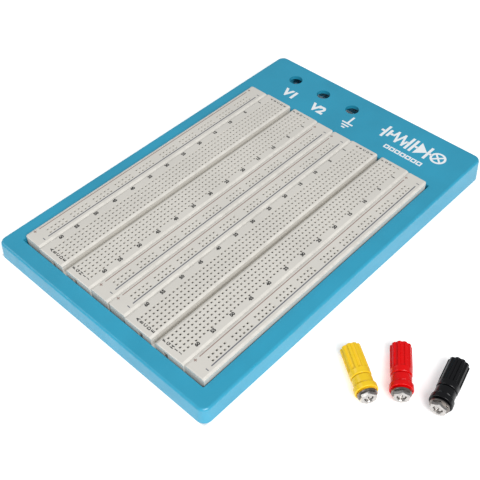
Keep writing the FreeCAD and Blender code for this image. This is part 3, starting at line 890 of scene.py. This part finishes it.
number_columns, number_height = (-17.4, 16.1), 2.1
near_end = -rows * pitch / 2
near_letters, far_letters = (near_end - 1.1, 1.9), (83.5, 1.5)      # (y, height)
row_55 = near_end + 17.8
numbers = {60: near_end + 7.6}
numbers.update({55 - 5 * step: row_55 + 5 * pitch * step for step in range(11)})
numbers[1] = row_55 + 55 * pitch
terminal_print = []
for x in number_columns:
    terminal_print += [lettering(str(number), number_height, x, y, weight=0.055)
                       for number, y in numbers.items()]
for sign, word in ((-1, "ABCDE"), (1, "FGHIJ")):
    for column, letter in zip(hole_columns, word):
        terminal_print += [lettering(letter, height, sign * bank_middle + column, y)
                           for y, height in (near_letters, far_letters)]
terminal_ink = gathered(*terminal_print)
for side, middle in board_middles.items():
    place = deck @ Matrix.Translation((middle, pocket_middle, proud))
    piece(side + "_terminal_numbers", terminal_ink.copy(), place, "base", black_ink)
terminal_ink.free()
print("numbers and letters:", made_triangles["left_terminal_numbers"], "triangles a strip")


# %% Bus lines and their plus and minus signs
line_start, line_end = -77.8, 78.4
sign_places = (-80.4, 80.7)
sign_reach, sign_half = 0.85, 0.24


def bus_print(line_x, width, is_plus):
    """A line down a bus strip, and its sign at each end."""
    parts = [bar(line_x - width / 2, line_x + width / 2, line_start, line_end)]
    for y in sign_places:
        sign = bar(line_x - sign_reach, line_x + sign_reach, y - sign_half, y + sign_half)
        if is_plus:
            second = bar(line_x - sign_half, line_x + sign_half, y - sign_reach, y + sign_reach)
            sign = worked(sign, ("UNION", second))
        parts.append(sign)
    return gathered(*parts)


for side, middle in board_middles.items():
    for end, step in (("left", -bus_step), ("right", bus_step)):
        place = deck @ Matrix.Translation((middle + step, pocket_middle, proud))
        name = "%s_board_%s_bus_" % (side, end)
        piece(name + "plus_line", bus_print(-4.2, 0.5, True), place, "base", red_ink)
        piece(name + "minus_line", bus_print(3.2, 0.6, False), place, "base", blue_ink)

# %% [markdown]
# ## Printing on the tray
#
# White ink names the three post holes: two supplies and an earth. The wide panel to
# their right carries a plain row of circuit symbols, which is a drawing that belongs
# to nobody, in place of a title. Each symbol is a few bars, a ring or a zigzag, and a
# row of small hollow squares runs below them. All of the tray's ink is one piece.

# %% Hole names and the earth symbol
earth_x, earth_low, earth_top, earth_half = -0.7, 84.7, 91.3, 0.6
earth_bars = ((3.8, 84.3), (2.5, 82.1), (1.2, 80.0))    # (half width, y)
earth_bar_half = 0.55
earth = [bar(earth_x - earth_half, earth_x + earth_half, earth_low, earth_top)]
earth += [bar(earth_x - reach, earth_x + reach, y - earth_bar_half, y + earth_bar_half)
          for reach, y in earth_bars]
name_height, name_y = 7.0, 83.5
tray_print = [lettering(name, name_height, x, name_y, 0, 0.05) for name, x in (("V1", -44.9), ("V2", -22.4))]


# %% Circuit symbols in a row
def strokes(points, thick):
    """A bar along each leg of a path, every bar joined to the one before."""
    joined = None
    for (x0, y0), (x1, y1) in zip(points, points[1:]):
        along = Vector((x1 - x0, y1 - y0))
        leg = bar(-along.length / 2 - thick / 2, along.length / 2 + thick / 2, -thick / 2, thick / 2)
        leg.transform(Matrix.Translation(((x0 + x1) / 2, (y0 + y1) / 2, 0))
                      @ Matrix.Rotation(math.atan2(along.y, along.x), 4, "Z"))
        joined = worked(joined, ("UNION", leg)) if joined else leg
    return joined


line = 93.8                   # the symbols' middle line, on the deck
stroke = 0.8                  # half the thickness of a stroke
tall, short = 5.6, 3.3        # half the heights of the plates


def lead(x0, x1):
    return bar(x0, x1, line - stroke, line + stroke)


def upright_bar(x, half):
    return bar(x - stroke, x + stroke, line - half, line + half)


battery = [lead(17.4, 19.6), upright_bar(20.2, tall), upright_bar(22.9, short), lead(23.5, 25.6)]
swing = 4.2                   # half the height of the resistor's zigzag
bends = enumerate((27.0, 29.3, 31.6, 33.9))
peaks = [(26.0, line)] + [(x, line + swing * (-1) ** count) for count, x in bends]
peaks.append((34.9, line))
resistor = [strokes(peaks, 1.3), lead(35.2, 36.2)]
capacitor = [upright_bar(36.8, tall), upright_bar(39.6, tall), lead(40.2, 42.4)]
diode = [plate([(42.2, line - tall), (48.6, line), (42.2, line + tall)], ink_low, ink_high),
         upright_bar(49.3, tall), lead(49.9, 51.8)]
lamp_x, lamp_radius, lamp_ring = 55.9, 4.7, 1.3
ring_profile = [(lamp_radius - lamp_ring, ink_low), (lamp_radius, ink_low), (lamp_radius, ink_high),
                (lamp_radius - lamp_ring, ink_high)]
lamp = moved(turned(ring_profile, 48), lamp_x, line)
cross_reach, cross_half = lamp_radius - 0.6, 0.55
for turn in (45, -45):
    cross = bar(-cross_reach, cross_reach, -cross_half, cross_half)
    cross.transform(Matrix.Translation((lamp_x, line, 0)) @ Matrix.Rotation(math.radians(turn), 4, "Z"))
    lamp = worked(lamp, ("UNION", cross))
first_x, first_y, square_half, window_half, square_step = 28.5, 83.0, 1.6, 0.8, 3.65
socket = worked(bar(-square_half, square_half, -square_half, square_half),
                ("DIFFERENCE", block(-window_half, window_half, -window_half, window_half, -1, 1)))
sockets = copied(moved(socket, first_x, first_y), [(square_step * step, 0, 0) for step in range(1, 7)])
symbols = battery + resistor + capacitor + diode + [lamp, sockets]
piece("tray_symbols", gathered(*earth, *tray_print, *symbols), deck, "base", white_ink)
print("tray_symbols:", made_triangles["tray_symbols"], "triangles")

# %% [markdown]
# ## Floor, light and camera
#
# The object stands on a plain pale floor. One broad light from the right and front
# gives the bevels their bright sides, a weaker one fills from the left, and the sky
# stays dimmer than the floor, so that the deck keeps its deep blue while the walls
# pick up the floor's white. The camera looks down from the front right corner.

# %% The stage
def floor_finish():
    """Pale paper that glows a little, as if lit from behind, so that it stays white; under the tray the glow
    is left out, a painted shade.
    """
    made = Finish("floor")
    place = made.room_place()
    patches = made.noise(place, 6.0, 3.0)
    sides = [made.add("ShaderNodeSeparateXYZ", {}, {"Vector": place}, output=axis) for axis in (0, 1)]
    half_sizes = (tray_width / 2000, tray_length / 2000)
    reach = [side.maths("ABSOLUTE", side) * (1 / half) for side, half in zip(sides, half_sizes)]
    # painted shade: the floor does not glow under the tray's footprint
    glows_outside_tray_shade = reach[0].maths("GREATER_THAN", reach[0].maths("MAXIMUM", *reach), 1.0)
    return made.shade({"Base Color": made.blend(patches, (0.93, 0.93, 0.93, 1), (0.96, 0.96, 0.96, 1)),
                       "Emission Color": made.blend(glows_outside_tray_shade, (0, 0, 0, 1), (1, 1, 1, 1)),
                       "Emission Strength": 0.38, "Roughness": 0.9, "IOR": 1.3})


def square(name, size, finish):
    bm = bmesh.new()
    bmesh.ops.create_grid(bm, x_segments=8, y_segments=8, size=size / 2)
    mesh = bpy.data.meshes.new(name)
    bm.to_mesh(mesh)
    bm.free()
    mesh.materials.append(finish)
    made = bpy.data.objects.new(name, mesh)
    bpy.context.scene.collection.objects.link(made)
    return made


square("floor", 6.0, floor_finish())


def softbox(name, spot, watts, size, aim=(0, 0, 0)):
    light = bpy.data.lights.new(name, "AREA")
    light.shape = "DISK"
    light.size = size
    light.energy = watts
    made = bpy.data.objects.new(name, light)
    made.location = spot
    made.rotation_mode = "QUATERNION"
    made.rotation_quaternion = (Vector(aim) - Vector(spot)).to_track_quat("-Z", "Y")
    bpy.context.scene.collection.objects.link(made)


softbox("key", (0.98, -0.52, 1.05), 19, 0.9)
softbox("fill", (-0.9, -0.5, 0.9), 3.4, 0.8)
sky = bpy.data.worlds.new("sky")
sky.use_nodes = True
sky.node_tree.nodes["Background"].inputs["Color"].default_value = (0.96, 0.98, 1.0, 1)
sky.node_tree.nodes["Background"].inputs["Strength"].default_value = 0.34
bpy.context.scene.world = sky
bpy.context.scene.view_settings.view_transform = "Standard"

# %% The camera
azimuth, elevation, roll = math.radians(42.6), math.radians(46.29), math.radians(0.517)
aim = Vector((8.82, -18.27, 0)) / 1000
distance = 0.4254
back_to_eye = Vector((math.sin(azimuth) * math.cos(elevation), -math.cos(azimuth) * math.cos(elevation),
                      math.sin(elevation)))
camera = bpy.data.objects.new("camera", bpy.data.cameras.new("camera"))
camera.data.lens = 60.22
camera.data.sensor_width = 36
camera.location = aim + back_to_eye * distance
camera.rotation_mode = "QUATERNION"
rolled = Matrix.Rotation(roll, 3, "Z").to_quaternion()
camera.rotation_quaternion = (-back_to_eye).to_track_quat("-Z", "Y") @ rolled
camera.data.clip_start, camera.data.clip_end = 0.01, 20
bpy.context.scene.collection.objects.link(camera)
bpy.context.scene.camera = camera

# %% The triangle count, and the end
print("triangles in all:", sum(made_triangles.values()))
